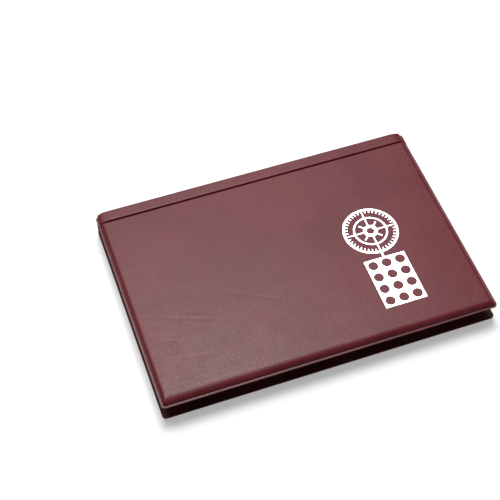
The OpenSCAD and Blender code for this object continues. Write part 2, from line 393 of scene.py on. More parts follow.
def shell(name, points, thickness, material, wear_and_highlight=None, flip=False):
    """A closed sheet of even thickness behind a grid of points."""
    count_r, count_c, _ = points.shape
    normals = grid_normals(points)
    if flip:
        normals = -normals
    inner = points - normals * thickness
    vertices = np.concatenate([points.reshape(-1, 3), inner.reshape(-1, 3)])
    back = count_r * count_c

    def at(r, c):
        return r * count_c + c

    faces = []
    for r in range(count_r - 1):
        for c in range(count_c - 1):
            quad = (at(r, c), at(r, c + 1), at(r + 1, c + 1), at(r + 1, c))
            faces.append(quad[::-1] if flip else quad)
            opposite = tuple(back + v for v in quad)
            faces.append(opposite if flip else opposite[::-1])
    border = [at(0, c) for c in range(count_c)]
    border += [at(r, count_c - 1) for r in range(1, count_r)]
    border += [at(count_r - 1, c) for c in range(count_c - 2, -1, -1)]
    border += [at(r, 0) for r in range(count_r - 2, 0, -1)]
    for a, b in zip(border, border[1:] + border[:1]):
        quad = (b, a, back + a, back + b)
        faces.append(quad[::-1] if flip else quad)
    mesh = bpy.data.meshes.new(name)
    mesh.from_pydata(vertices.tolist(), [], faces)
    if wear_and_highlight is not None:
        wear_and_highlight = np.concatenate([wear_and_highlight.ravel(), wear_and_highlight.ravel()])
    store_rest(mesh, wear_and_highlight)
    mesh.polygons.foreach_set("use_smooth", [True] * len(mesh.polygons))
    mesh.set_sharp_from_angle(angle=math.radians(55))
    return link(name, mesh, material)


class Plan:
    """Lines seen from above, which become a plate with openings."""

    def __init__(self):
        self.points = []
        self.edges = []

    def dot(self, x, y):
        self.points.append(Vector((x, y)) / MM)

    def line(self, path, closed=True):
        first = len(self.points)
        for x, y in path:
            self.dot(x, y)
        self.edges.extend((first + i, first + i + 1) for i in range(len(path) - 1))
        if closed:
            self.edges.append((first + len(path) - 1, first))

    def plate(self, is_open, top, bottom):
        """Vertices, faces and the middles of the faces. top and bottom put a place (x, y) in space."""
        flat, _, triangles, _, _, _ = geometry.delaunay_2d_cdt(self.points, self.edges, [], 0, 1e-5)
        kept, middles = [], []
        for triangle in triangles:
            middle = sum((flat[i] for i in triangle), Vector((0, 0))) / 3 * MM
            if not is_open(*middle):
                kept.append(triangle)
                middles.append(middle)
        used = sorted({i for triangle in kept for i in triangle})
        number = {old: new for new, old in enumerate(used)}
        places = [flat[i] * MM for i in used]
        vertices = [top(*place) for place in places] + [bottom(*place) for place in places]
        count = len(used)
        faces = [tuple(number[i] for i in triangle) for triangle in kept]
        sides = {(a, b) for face in faces for a, b in zip(face, face[1:] + face[:1])}
        under = [tuple(count + i for i in reversed(face)) for face in faces]
        walls = [(b, a, count + a, count + b) for a, b in sorted(sides) if (b, a) not in sides]
        return vertices, faces + under + walls, middles


# ---- Materials

class Shader:
    """A principled material, and the nodes that vary it over the surface."""

    def __init__(self, name, **inputs):
        self.material = bpy.data.materials.new(name)
        self.material.use_nodes = True
        self.tree = self.material.node_tree
        self.surface = self.tree.nodes["Principled BSDF"]
        self.set(**inputs)

    def set(self, **inputs):
        for socket_name, value in inputs.items():
            self.join(self.surface.inputs[socket_name.replace("_", " ")], value)

    def join(self, socket, value):
        if isinstance(value, bpy.types.NodeSocket):
            self.tree.links.new(value, socket)
        else:
            socket.default_value = value

    def add(self, kind, inputs, output=0, **settings):
        """Adds a node, sets its inputs by name or number, and gives one of its outputs."""
        made = self.tree.nodes.new("ShaderNode" + kind)
        for setting, value in settings.items():
            setattr(made, setting, value)
        for key, value in inputs.items():
            self.join(made.inputs[key], value)
        return made.outputs[output]

    def attribute(self, name, output="Vector"):
        return self.add("Attribute", {}, output, attribute_name=name)

    def object_place(self):
        return self.add("TexCoord", {}, "Object")

    def noise(self, place, size, detail=3, roughness=0.5):
        """Noise whose blobs are about size across, in metres."""
        inputs = {"Vector": place, "Scale": 1 / size, "Detail": detail, "Roughness": roughness}
        return self.add("TexNoise", inputs, "Fac")

    def warped(self, place, size, amount):
        """The same place, moved about by noise so that a pattern on it isn't regular."""
        inputs = {"Vector": place, "Scale": 1 / size}
        offset = self.add("TexNoise", inputs, "Color")
        return self.add("VectorMath", {0: offset, 1: (amount,) * 3, 2: place}, operation="MULTIPLY_ADD")

    def ramp(self, value, low, high, out_low=0.0, out_high=1.0):
        """Maps low to out_low and high to out_high, smoothly."""
        inputs = {"Value": value, "From Min": low, "From Max": high, "To Min": out_low, "To Max": out_high}
        return self.add("MapRange", inputs, "Result", interpolation_type="SMOOTHSTEP")

    def mix(self, share, first, second):
        return self.add("Mix", {0: share, 6: first, 7: second}, 2, data_type="RGBA")

    def math(self, operation, first, second):
        return self.add("Math", {0: first, 1: second}, operation=operation)

    def bump(self, height, distance, under=None):
        inputs = {"Height": height, "Distance": distance, "Strength": 1.0}
        if under:
            inputs["Normal"] = under
        return self.add("Bump", inputs, "Normal")


def rgb(red, green, blue):
    return (red, green, blue, 1.0)


# How much of the dark tone is left in the valleys of the grain, which are darkened with painted shade
VALLEY_SHADE = 0.62


def vinyl(name, dark, light, pale_tone, grain, depth, roughness):
    """Vinyl embossed with leather grain, flatter and a little paler along its worn cut edge, paler from
    wear and a painted highlight.

    The tone wanders between dark and light, and grain and depth are the size of the grain's pebbles.
    """
    shader = Shader(name, Specular_IOR_Level=0.165)
    place = shader.attribute("rest")
    wear_and_highlight = shader.attribute("wear_and_highlight", "Fac")
    broad = shader.noise(place, 38 * MM, 4, 0.55)
    cloudy = shader.noise(place, 7 * MM, 3)
    loose = shader.warped(place, 1.6 * grain, 0.55 * grain)
    pebbles = shader.add(
        "TexVoronoi", {"Vector": loose, "Scale": 1 / grain, "Smoothness": 0.35}, "Distance",
        feature="SMOOTH_F1"
    )
    valleys = shader.ramp(pebbles, 0.32, 0.62)
    fine = shader.noise(place, 0.16 * MM, 2)

    tone = shader.mix(shader.ramp(broad, 0.36, 0.66), dark, light)
    tone = shader.mix(shader.ramp(cloudy, 0.35, 0.8, 0, 0.06), tone, pale_tone)
    # Painted shade in the valleys of the grain
    painted_valley_shade = rgb(*(VALLEY_SHADE * channel for channel in dark[:3]))
    tone = shader.mix(shader.math("MULTIPLY", valleys, 0.2), tone, painted_valley_shade)
    # Paler along the cut edge: wear, and a painted highlight of the edge
    tone = shader.mix(shader.ramp(wear_and_highlight, 0.3, 1, 0, 0.15), tone, pale_tone)
    shader.set(Base_Color=tone)

    gloss = shader.ramp(cloudy, 0.3, 0.75, roughness - 0.02, roughness + 0.03)
    gloss = shader.math("ADD", gloss, shader.math("MULTIPLY", valleys, 0.06))
    shader.set(Roughness=shader.math("ADD", gloss, shader.math("MULTIPLY", wear_and_highlight, 0.1)))

    flattened = shader.ramp(wear_and_highlight, 0.2, 1, 1, 0.25)
    relief = shader.math("MULTIPLY", shader.math("SUBTRACT", 1.0, valleys), flattened)
    coarse = shader.bump(relief, depth)
    shader.set(Normal=shader.bump(fine, 0.004 * MM, coarse))
    return shader.material


def grey_board():
    shader = Shader("grey_board_fibres", Roughness=0.9, Specular_IOR_Level=0.2)
    place = shader.object_place()
    stretched = shader.add("Mapping", {"Vector": place, "Scale": (0.25, 1, 1)})
    fibres = shader.noise(stretched, 0.5 * MM, 5, 0.7)
    flecks = shader.noise(place, 1.4 * MM, 2, 0.6)
    tone = shader.mix(shader.ramp(fibres, 0.35, 0.65), rgb(0.25, 0.22, 0.18), rgb(0.36, 0.33, 0.28))
    shader.set(Base_Color=shader.mix(shader.ramp(flecks, 0.68, 0.75), tone, rgb(0.13, 0.12, 0.11)))
    shader.set(Normal=shader.bump(fibres, 0.06 * MM))
    return shader.material


def foam():
    shader = Shader("white_foam_cells", Roughness=0.95, Specular_IOR_Level=0.15)
    place = shader.object_place()
    cells = shader.add("TexVoronoi", {"Vector": place, "Scale": 1 / (0.45 * MM)}, "Distance")
    patches = shader.noise(place, 9 * MM, 3)
    tone = shader.mix(shader.ramp(patches, 0.35, 0.7), rgb(0.72, 0.69, 0.58), rgb(0.82, 0.8, 0.72))
    pores = shader.ramp(cells, 0.05, 0.3)
    # The pores are darkened with painted shade
    shader.set(Base_Color=shader.mix(pores, rgb(0.45, 0.43, 0.36), tone))
    shader.set(Normal=shader.bump(pores, 0.12 * MM))
    return shader.material


def milky_vinyl():
    shader = Shader("milky_binding_vinyl", Specular_IOR_Level=0.5)
    place = shader.object_place()
    haze = shader.noise(place, 4 * MM, 3)
    ribs = shader.add("TexWave", {"Vector": place, "Scale": 1 / (3.2 * MM), "Distortion": 0.4}, "Fac")
    shader.set(Base_Color=shader.mix(haze, rgb(0.5, 0.53, 0.56), rgb(0.68, 0.7, 0.72)))
    shader.set(Roughness=shader.ramp(haze, 0.3, 0.7, 0.32, 0.5))
    shader.set(Normal=shader.bump(ribs, 0.03 * MM))
    return shader.material


def clear_film():
    shader = Shader("clear_film", Alpha=0.26, Specular_IOR_Level=0.8)
    place = shader.attribute("rest")
    haze = shader.noise(place, 14 * MM, 4, 0.6)
    scuffs = shader.noise(shader.add("Mapping", {"Vector": place, "Scale": (0.15, 1, 1)}), 0.5 * MM, 3)
    shader.set(Base_Color=shader.mix(haze, rgb(0.74, 0.81, 0.86), rgb(0.88, 0.92, 0.95)))
    gloss = shader.ramp(haze, 0.3, 0.7, 0.08, 0.2)
    shader.set(Roughness=shader.math("ADD", gloss, shader.ramp(scuffs, 0.62, 0.75, 0, 0.15)))
    shader.set(Normal=shader.bump(haze, 0.25 * MM))
    return shader.material


def welded_film():
    """Where the two films are welded, the film is frosted by the fine ribs of the welding bar."""
    shader = Shader("welded_film", Alpha=0.6, Specular_IOR_Level=0.6)
    place = shader.attribute("rest")
    diagonal = shader.add("Mapping", {"Vector": place, "Rotation": (0, 0, math.radians(45))})
    ribs = shader.add("TexWave", {"Vector": diagonal, "Scale": 1 / (3 * MM)}, "Fac")
    haze = shader.noise(place, 3 * MM, 3)
    shader.set(Base_Color=shader.mix(haze, rgb(0.78, 0.82, 0.85), rgb(0.9, 0.93, 0.95)))
    shader.set(Roughness=shader.ramp(haze, 0.3, 0.7, 0.4, 0.55))
    shader.set(Normal=shader.bump(ribs, 0.04 * MM))
    return shader.material


def silver_foil():
    shader = Shader("silver_foil", Metallic=1.0)
    place = shader.attribute("rest")
    rubbed = shader.noise(place, 2.2 * MM, 5, 0.65)
    scratches = shader.noise(shader.add("Mapping", {"Vector": place, "Scale": (1, 0.08, 1)}), 0.2 * MM, 3)
    dulled = shader.ramp(rubbed, 0.35, 0.75)
    shader.set(Base_Color=shader.mix(dulled, rgb(0.9, 0.9, 0.92), rgb(0.7, 0.69, 0.7)))
    gloss = shader.ramp(rubbed, 0.3, 0.7, 0.26, 0.42)
    shader.set(Roughness=shader.math("ADD", gloss, shader.ramp(scratches, 0.6, 0.75, 0, 0.12)))
    grain = shader.add("TexVoronoi", {"Vector": place, "Scale": 1 / (0.9 * MM)}, "Distance")
    shader.set(Normal=shader.bump(grain, 0.02 * MM))
    return shader.material


burgundy = vinyl(
    "burgundy_leathered_vinyl", rgb(0.08, 0.008, 0.0115), rgb(0.1, 0.012, 0.0165), rgb(0.17, 0.055, 0.06),
    0.8 * MM, 0.018 * MM, 0.31
)
lining_vinyl = vinyl(
    "burgundy_lining_vinyl", rgb(0.06, 0.009, 0.012), rgb(0.075, 0.012, 0.016), rgb(0.12, 0.045, 0.05),
    0.5 * MM, 0.02 * MM, 0.48
)
board_material = grey_board()
foam_material = foam()
milky_material = milky_vinyl()
film_material = clear_film()
weld_material = welded_film()
foil_material = silver_foil()


# ---- The skins: one sheet of vinyl over both covers, divided at the middle of the spine and on the front band

# The cloth is simulated at a larger scale, where Blender's solver is steadier
CLOTH_SCALE = 5
CLOTH_FRAMES = 20
CLOTH_COLUMNS, CLOTH_ROWS = 72, 46
CLOTH_LEFT, CLOTH_RIGHT = RIM - END_X, END_X - RIM
CLOTH_NEAR, CLOTH_FAR = FORE_Y + RIM, PANEL_WALL


def panel_cloth():
    """A flat sheet as large as the panel's padding, with its border in the vertex group held."""
    mesh = bpy.data.meshes.new("panel_cloth")
    vertices = [
        (x * CLOTH_SCALE, y * CLOTH_SCALE, 0)
        for y in spread(CLOTH_NEAR, CLOTH_FAR, CLOTH_ROWS)
        for x in spread(CLOTH_LEFT, CLOTH_RIGHT, CLOTH_COLUMNS)
    ]
    step = CLOTH_COLUMNS + 1
    faces = [
        (r * step + c, r * step + c + 1, (r + 1) * step + c + 1, (r + 1) * step + c)
        for r in range(CLOTH_ROWS)
        for c in range(CLOTH_COLUMNS)
    ]
    mesh.from_pydata(vertices, [], faces)
    sheet = link("panel_cloth", mesh)
    border = [
        i for i in range(len(vertices))
        if i // step in (0, CLOTH_ROWS) or i % step in (0, CLOTH_COLUMNS)
    ]
    sheet.vertex_groups.new(name="held").add(border, 1.0, "REPLACE")
    return sheet


def simulated_heights():
    """Blows up the held sheet with Blender's cloth."""
    sheet = panel_cloth()
    settings = sheet.modifiers.new("cloth", "CLOTH").settings
    settings.quality = 6
    settings.vertex_group_mass = "held"
    settings.use_pressure = True
    settings.uniform_pressure_force = 4
    settings.effector_weights.gravity = 0
    settings.bending_stiffness = 0.4
    settings.shrink_min = -0.004
    scene = bpy.context.scene
    for number in range(1, CLOTH_FRAMES + 1):
        scene.frame_set(number)
    shaped = sheet.evaluated_get(bpy.context.evaluated_depsgraph_get()).data
    places = np.zeros(len(shaped.vertices) * 3)
    shaped.vertices.foreach_get("co", places)
    bpy.data.objects.remove(sheet)
    scene.frame_set(1)
    return places.reshape(CLOTH_ROWS + 1, CLOTH_COLUMNS + 1, 3)[..., 2]


crown_heights = simulated_heights()
crown_heights = crown_heights / np.abs(crown_heights).max()


def crown(x, y):
    """Height share of the panel's crown at a place, between the cloth's vertices."""
    u = (x - CLOTH_LEFT) / (CLOTH_RIGHT - CLOTH_LEFT) * CLOTH_COLUMNS
    v = (y - CLOTH_NEAR) / (CLOTH_FAR - CLOTH_NEAR) * CLOTH_ROWS
    if not (0 < u < CLOTH_COLUMNS and 0 < v < CLOTH_ROWS):
        return 0.0
    j, i = int(u), int(v)
    u, v = u - j, v - i
    low = crown_heights[i, j] * (1 - u) + crown_heights[i, j + 1] * u
    high = crown_heights[i + 1, j] * (1 - u) + crown_heights[i + 1, j + 1] * u
    return float(low * (1 - v) + high * v)


# Faint creases in the front panel, in millimetres: from, to, depth and half-width
CREASES = [
    ((-85, -10), (-41, -27), 0.07, 0.7),
    ((-68, -12), (-52, -19), 0.06, 0.7),
    ((-46, -6), (-4, -29), 0.05, 0.9),
    ((-82, -26), (-68, -31), 0.05, 0.8),
    ((48, -29), (77, -22), 0.05, 0.8),
    ((-80, -38), (-52, -44), 0.05, 1.0),
]


def crease_depth(x, y):
    depth = 0.0
    for start, end, deepest, width in CREASES:
        a, b = Vector(start) * MM, Vector(end) * MM
        along = (Vector((x, y)) - a).dot(b - a) / (b - a).length_squared
        if 0 < along < 1:
            off = (Vector((x, y)) - a - (b - a) * along).length / (width * MM)
            depth += deepest * MM * math.sin(math.pi * along) * math.exp(-off * off)
    return depth


# Two layers of unevenness: size of the waves, and how high they are
LONG_WAVE, LONG_RISE = 26 * MM, 0.06 * MM
SHORT_WAVE, SHORT_RISE = 8 * MM, 0.018 * MM
OTHER_LAYER = 9 * MM


def waviness(x, y):
    """Slow unevenness of foam under vinyl."""
    long_part = noise.noise(Vector((x, y, 0)) / LONG_WAVE)
    short_part = noise.noise(Vector((x, y, OTHER_LAYER)) / SHORT_WAVE)
    return LONG_RISE * long_part + SHORT_RISE * short_part


def front_relief(x, y):
    if y > PANEL_WALL:
        return waviness(x, y)
    return CROWN * crown(x, y) + waviness(x, y) - crease_depth(x, y)


def edge_wear_and_highlight(points):
    """Full wear and painted highlight on the cut edge of the rim, fading within a narrow line."""
    from_edge = np.minimum(END_X - np.abs(points[..., 0]), points[..., 1] - FORE_Y)
    return np.clip(1 - from_edge / EDGE_LINE, 0, 1)


FRONT_COLUMNS, FRONT_ROWS = 250, 170
BACK_COLUMNS, BACK_ROWS = 78, 60
columns = album_columns(FRONT_COLUMNS)
back_columns = album_columns(BACK_COLUMNS)
spine_part = spine_rows() + fold_rows()
fold_to_seam = band_rows(FOLD_Y, BAND_SEAM, 5)[1:]
seam_to_groove = band_rows(BAND_SEAM, BAND_WALL + GROOVE_ROUND, 2)
band_edge = groove_edge_rows(BAND_WALL, 1, SPINE_ROLL)
seam_to_weld = seam_to_groove + band_edge + weld_rows()

upper_points = sheet_points(spine_part + fold_to_seam, columns, front_relief)
front_points = sheet_points(seam_to_weld + panel_rows(FRONT_ROWS), columns, front_relief)
back_rows = spine_part + fold_to_seam[:-1] + seam_to_weld + panel_rows(BACK_ROWS)
back_points = turned_over(sheet_points(back_rows, back_columns))

upper_skin = shell("spine_band_skin", upper_points, SKIN, burgundy, edge_wear_and_highlight(upper_points))
front_skin = shell("front_padded_skin", front_points, SKIN, burgundy, edge_wear_and_highlight(front_points))
back_skin = shell("back_padded_skin", back_points, SKIN, burgundy, edge_wear_and_highlight(back_points))
front_surface = BVHTree.FromPolygons(
    [v.co for v in front_skin.data.vertices], [p.vertices for p in front_skin.data.polygons]
)


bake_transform(back_skin)
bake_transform(upper_skin)
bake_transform(front_skin)
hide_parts("back_cover_skin", "spine_skin")
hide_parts("front_band_skin")
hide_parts("front_cover_skin")

# ---- The linings

# The lining's seam lies beside the skin's, so that no light gets through both
SEAM_STEP = 0.8 * MM
lining_seam = BAND_SEAM - SEAM_STEP
lining_near_spine = lining_spine_rows()
lining_near_spine += lining_rows(spread(SPINE_LINING_Y - FOLD, lining_seam, 3)[1:])
lining_cover_part = lining_rows([lining_seam] + lining_cover_places())

upper_lining_points = sheet_points(lining_near_spine, back_columns)
front_lining_points = sheet_points(lining_cover_part, back_columns)
back_lining_points = sheet_points(lining_near_spine[:-1] + lining_cover_part, back_columns)
upper_lining = shell("spine_band_lining", upper_lining_points, LINING, lining_vinyl, flip=True)
front_lining = shell("front_cover_lining", front_lining_points, LINING, lining_vinyl, flip=True)
back_lining = shell(
    "back_cover_lining", turned_over(back_lining_points), LINING, lining_vinyl, flip=True
)
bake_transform(back_lining)
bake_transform(upper_lining)
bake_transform(front_lining)
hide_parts("back_lining", "spine_lining")
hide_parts("front_band_lining")
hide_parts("front_lining")


# ---- The foil ornament, stamped onto the front skin

foil_low, foil_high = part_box("foil_ornament")

# Radius and middle of the coin
COIN = (foil_high.x - foil_low.x) / 2
COIN_X = (foil_high.x + foil_low.x) / 2
COIN_Y = foil_high.y - COIN

# How far the foil stands out of the skin and reaches into it
FOIL_PROUD = 0.03 * MM
FOIL_SUNK = 0.06 * MM

# The coin's rim and reeding, half-widths of the bars, and its rings as shares of its radius
REEDS = 40
SPOKES = 8
COIN_RIM = 1.2 * MM
REED_LENGTH = 1.6 * MM
REED_HALF = 0.3 * MM
SPOKE_HALF = 0.35 * MM
NECK_HALF = 0.5 * MM
RING_OUTSIDE, RING_INSIDE = 0.62 * COIN, 0.56 * COIN
HUB_OUTSIDE, HUB_INSIDE = 0.26 * COIN, 0.14 * COIN
SHORT_SPOKE = 0.46 * COIN

# The tray beside it
TRAY_CELL = 7.6 * MM
TRAY_ROWS, TRAY_COLUMNS = 4, 3
TRAY_START = COIN + 3 * MM
TRAY_HALF = TRAY_COLUMNS * TRAY_CELL / 2
TRAY_OPENING = 0.36 * TRAY_CELL


def foil_point(u, v, lift):
    """A point of the ornament on the skin. u runs towards the fore-edge from the coin's middle."""
    place = Vector((COIN_X + v, COIN_Y - u, 2 * TOP_Z))
    hit = front_surface.ray_cast(place, Vector((0, 0, -1)))[0]
    return (place.x, place.y, hit.z + lift)


def add_plate(vertices, faces, left, right, closed=False):
    """Adds a thin plate between two lines of (u, v) points with as many points each."""
    first = len(vertices)
    count = len(left)
    for (lu, lv), (ru, rv) in zip(left, right):
        for u, v in ((lu, lv), (ru, rv)):
            vertices.append(foil_point(u, v, FOIL_PROUD))
            vertices.append(foil_point(u, v, -FOIL_SUNK))
    steps = range(count if closed else count - 1)
    for i in steps:
        a, b = first + 4 * i, first + 4 * ((i + 1) % count)
        faces.append((a, a + 2, b + 2, b))
        faces.append((a + 1, b + 1, b + 3, a + 3))
        faces.append((a, b, b + 1, a + 1))
        faces.append((a + 2, a + 3, b + 3, b + 2))
    if not closed:
        last = first + 4 * (count - 1)
        faces.append((first, first + 1, first + 3, first + 2))
        faces.append((last, last + 2, last + 3, last + 1))


def circle(radius, count=96):
    return [
        (radius * math.cos(2 * math.pi * i / count), radius * math.sin(2 * math.pi * i / count))
        for i in range(count)
    ]


def bar_lines(u_from, u_to, half, angle=0.0, step=3 * MM):
    """The two long sides of a bar that lies along u, turned about the coin's middle."""
    count = max(1, round((u_to - u_from) / step))
    cos, sin = math.cos(angle), math.sin(angle)
    return [
        [(u * cos - v * sin, u * sin + v * cos) for u in spread(u_from, u_to, count)]
        for v in (half, -half)
    ]


def tray_plan():
    """A plate with rows of round openings, and points along its outline so that it follows the skin."""
    plan = Plan()
    end = TRAY_START + TRAY_ROWS * TRAY_CELL
    along, across = spread(TRAY_START, end, 12), spread(-TRAY_HALF, TRAY_HALF, 9)
    outline = [(u, -TRAY_HALF) for u in along] + [(end, v) for v in across[1:]]
    outline += [(u, TRAY_HALF) for u in reversed(along[:-1])]
    outline += [(TRAY_START, v) for v in across[-2:0:-1]]
    plan.line(outline)
    for row in range(TRAY_ROWS):
        for column in range(TRAY_COLUMNS):
            u, v = TRAY_START + (row + 0.5) * TRAY_CELL, (column + 0.5) * TRAY_CELL - TRAY_HALF
            plan.line([(u + x, v + y) for x, y in circle(TRAY_OPENING, 32)])
    return plan


def in_tray_opening(u, v):
    from_u = (u - TRAY_START) % TRAY_CELL - TRAY_CELL / 2
    from_v = (v + TRAY_HALF) % TRAY_CELL - TRAY_CELL / 2
    return math.hypot(from_u, from_v) < TRAY_OPENING


def foil_ornament():
    vertices, faces = [], []
    rim_inner = COIN - COIN_RIM
    reed_inner = rim_inner - REED_LENGTH
    for outer, inner in ((COIN, rim_inner), (RING_OUTSIDE, RING_INSIDE), (HUB_OUTSIDE, HUB_INSIDE)):
        add_plate(vertices, faces, circle(inner), circle(outer), closed=True)
    for i in range(REEDS):
        turn = 2 * math.pi * i / REEDS
        add_plate(vertices, faces, *bar_lines(reed_inner, rim_inner, REED_HALF, turn))
    for i in range(SPOKES):
        turn = 2 * math.pi * i / SPOKES
        reach = RING_INSIDE if i % 2 == 0 else SHORT_SPOKE
        add_plate(vertices, faces, *bar_lines(HUB_OUTSIDE, reach, SPOKE_HALF, turn))
        if i % 2 == 0:
            add_plate(vertices, faces, *bar_lines(RING_OUTSIDE, reed_inner, SPOKE_HALF, turn))
    add_plate(vertices, faces, *bar_lines(COIN, TRAY_START, NECK_HALF))
    tray_vertices, tray_faces, _ = tray_plan().plate(
        in_tray_opening,
        lambda u, v: foil_point(u, v, FOIL_PROUD),
        lambda u, v: foil_point(u, v, -FOIL_SUNK),
    )
    first = len(vertices)
    vertices += tray_vertices
    faces += [tuple(first + i for i in face) for face in tray_faces]
    mesh = bpy.data.meshes.new("stamped_foil")
    mesh.from_pydata(vertices, [], faces)
    store_rest(mesh)
    return link("stamped_foil", mesh, foil_material)


foil = foil_ornament()
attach(foil, "front_cover")
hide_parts("foil_ornament")


# ---- The pages

PAGES = sorted(body for body in frame["bodies"] if body.startswith("page_"))
page_low, page_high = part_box("page_01_back_film")
PAGE_END_X = page_high.x
PAGE_FORE_Y = page_low.y
PAGE_ROOT_Y = page_high.y
PAGE_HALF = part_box("page_01_pocket_film")[1].z - joint_at["page_01_turn"].z
FILM = page_high.z - page_low.z
PAGE_CORNER = 3 * MM

# Where the stubs of the binding strip end, which the pages' roots start from
STUB_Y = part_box("page_binding_strip")[0].y

# The welds between and round the pockets
POCKET_ROWS, POCKET_COLUMNS = 4, 3
PAGE_MARGIN = 3 * MM
BINDING_MARGIN = 7 * MM
WELD_LINE = 1.2 * MM

# A pocket's mouth: the width of its slit, how far that lies from the weld, and the thumb notch's radius
SLIT = 0.8 * MM
SLIT_BACK = 2.4 * MM
NOTCH = 6 * MM

# How high a pocket's film stands up, how far from its welds, and the share of a pocket left at its edges
# without points of its own
POCKET_BULGE = 0.1 * MM
BULGE_REACH = 7 * MM
POCKET_EDGE = 0.06

# The grid of pockets, from the tail and the fore-edge on
FIRST_X = -PAGE_END_X + PAGE_MARGIN
FIRST_Y = PAGE_FORE_Y + PAGE_MARGIN
POCKETS_END_Y = PAGE_ROOT_Y - BINDING_MARGIN
POCKET_X = -2 * FIRST_X / POCKET_ROWS
POCKET_Y = (POCKETS_END_Y - FIRST_Y) / POCKET_COLUMNS


def page_outline():
    centre_x, centre_y = PAGE_END_X - PAGE_CORNER, PAGE_FORE_Y + PAGE_CORNER
    line = [(-PAGE_END_X, PAGE_ROOT_Y)]
    for side, first in ((-1, math.pi), (1, 1.5 * math.pi)):
        for turn in spread(first, first + math.pi / 2, 6):
            x = side * centre_x + PAGE_CORNER * math.cos(turn)
            line.append((x, centre_y + PAGE_CORNER * math.sin(turn)))
    return line + [(PAGE_END_X, PAGE_ROOT_Y)]


def mouth_outline(pocket_row, pocket_column):
    """The slit at the pocket's head end, joined to a half-moon notch for a thumb."""
    left = FIRST_X + (pocket_row + 1) * POCKET_X - SLIT_BACK - SLIT
    low = FIRST_Y + pocket_column * POCKET_Y + WELD_LINE + SLIT
    high = low + POCKET_Y - 2 * (WELD_LINE + SLIT)
    middle = (low + high) / 2
    line = [(left, low), (left + SLIT, low), (left + SLIT, high), (left, high)]
    for turn in spread(math.pi / 2, 1.5 * math.pi, 16):
        line.append((left + NOTCH * math.cos(turn), middle + NOTCH * math.sin(turn)))
    return line


def inside_mouth(x, y):
    along = (x - FIRST_X) % POCKET_X - (POCKET_X - SLIT_BACK - SLIT)
    across = (y - FIRST_Y) % POCKET_Y
    if 0 < along < SLIT and WELD_LINE + SLIT < across < POCKET_Y - WELD_LINE - SLIT:
        return True
    return along <= 0 and math.hypot(along, across - POCKET_Y / 2) < NOTCH


def pocket_place(x, y):
    """Distance to the nearest weld line along and across, or None outside the pockets."""
    if not (-abs(FIRST_X) < x < abs(FIRST_X) and FIRST_Y < y < POCKETS_END_Y):
        return None
    along, across = (x - FIRST_X) % POCKET_X, (y - FIRST_Y) % POCKET_Y
    half = WELD_LINE / 2
    return min(along, POCKET_X - along) - half, min(across, POCKET_Y - across) - half


def is_weld(x, y):
    if y > POCKETS_END_Y:
        return True
    place = pocket_place(x, y)
    half = WELD_LINE / 2
    near_frame = abs(x) < -FIRST_X + half and FIRST_Y - half < y
    return near_frame and (place is None or min(place) < 0)


def bulge(x, y):
    place = pocket_place(x, y)
    if place is None or min(place) <= 0:
        return 0.0
    rise = [min(1, distance / BULGE_REACH) for distance in place]
    return POCKET_BULGE * math.sin(rise[0] * math.pi / 2) * math.sin(rise[1] * math.pi / 2)


def pocket_film_mesh():
    """The pocket film of every page, about its own middle height: welds, bulging pockets and mouths."""
    plan = Plan()
    plan.line(page_outline())
    half = WELD_LINE / 2
    weld_end_x = half - FIRST_X
    for pocket_row in range(POCKET_ROWS + 1):
        for side in (-half, half):
            x = FIRST_X + pocket_row * POCKET_X + side
            plan.line([(x, FIRST_Y - half), (x, POCKETS_END_Y)], closed=False)
    for pocket_column in range(POCKET_COLUMNS):
        for side in (-half, half):
            y = FIRST_Y + pocket_column * POCKET_Y + side
            plan.line([(-weld_end_x, y), (weld_end_x, y)], closed=False)
    plan.line([(-PAGE_END_X, POCKETS_END_Y), (PAGE_END_X, POCKETS_END_Y)], closed=False)
    for pocket_row in range(POCKET_ROWS):
        for pocket_column in range(POCKET_COLUMNS):
            plan.line(mouth_outline(pocket_row, pocket_column))
            for u in spread(POCKET_EDGE, 1 - POCKET_EDGE, 6):
                for v in spread(POCKET_EDGE, 1 - POCKET_EDGE, 5):
                    x = FIRST_X + (pocket_row + u) * POCKET_X
                    y = FIRST_Y + (pocket_column + v) * POCKET_Y
                    if not inside_mouth(x, y):
                        plan.dot(x, y)

    vertices, faces, middles = plan.plate(
        inside_mouth,
        lambda x, y: (x, y, bulge(x, y) + FILM / 2),
        lambda x, y: (x, y, bulge(x, y) - FILM / 2),
    )
    welded = [int(is_weld(*middle)) for middle in middles]
    walls = [0] * (len(faces) - 2 * len(middles))
    mesh = bpy.data.meshes.new("pocket_film")
    mesh.from_pydata(vertices, [], faces)
    mesh.materials.append(film_material)
    mesh.materials.append(weld_material)
    mesh.polygons.foreach_set("material_index", welded + welded + walls)
    mesh.polygons.foreach_set("use_smooth", [True] * len(faces))
    mesh.set_sharp_from_angle(angle=math.radians(30))
    store_rest(mesh)
    return mesh


def back_film_points(middle_z):
    """The page's back film, and the soft root by which it hangs from the spine's stub."""
    top = middle_z - PAGE_HALF + FILM
    root_lift = middle_z + FILM / 2 - top
    rows = [(y, top + root_lift * t) for t, y in zip(spread(1, 0, 8), spread(STUB_Y, PAGE_ROOT_Y, 8))]
    rows += [(y, top) for y in spread(PAGE_ROOT_Y, PAGE_FORE_Y + PAGE_CORNER, 14)[1:]]
    rows += [(y, top) for y in spread(PAGE_FORE_Y + PAGE_CORNER, PAGE_FORE_Y, 5)[1:]]
    inner = PAGE_END_X - PAGE_CORNER
    edge = spread(PAGE_END_X, inner, 5)
    across = edge + spread(inner, -inner, 20)[1:-1] + [-x for x in reversed(edge)]
    points = np.zeros((len(rows), len(across), 3))
    for i, (y, z) in enumerate(rows):
        for j, x in enumerate(across):
            a, b = (abs(x) - inner) / PAGE_CORNER, (PAGE_FORE_Y + PAGE_CORNER - y) / PAGE_CORNER
            place = (x, y)
            if a > 0 and b > 0:
                scale = max(a, b) / math.hypot(a, b) * PAGE_CORNER
                place = (math.copysign(inner + a * scale, x), PAGE_FORE_Y + PAGE_CORNER - b * scale)
            points[i, j] = (*place, z)
    return points


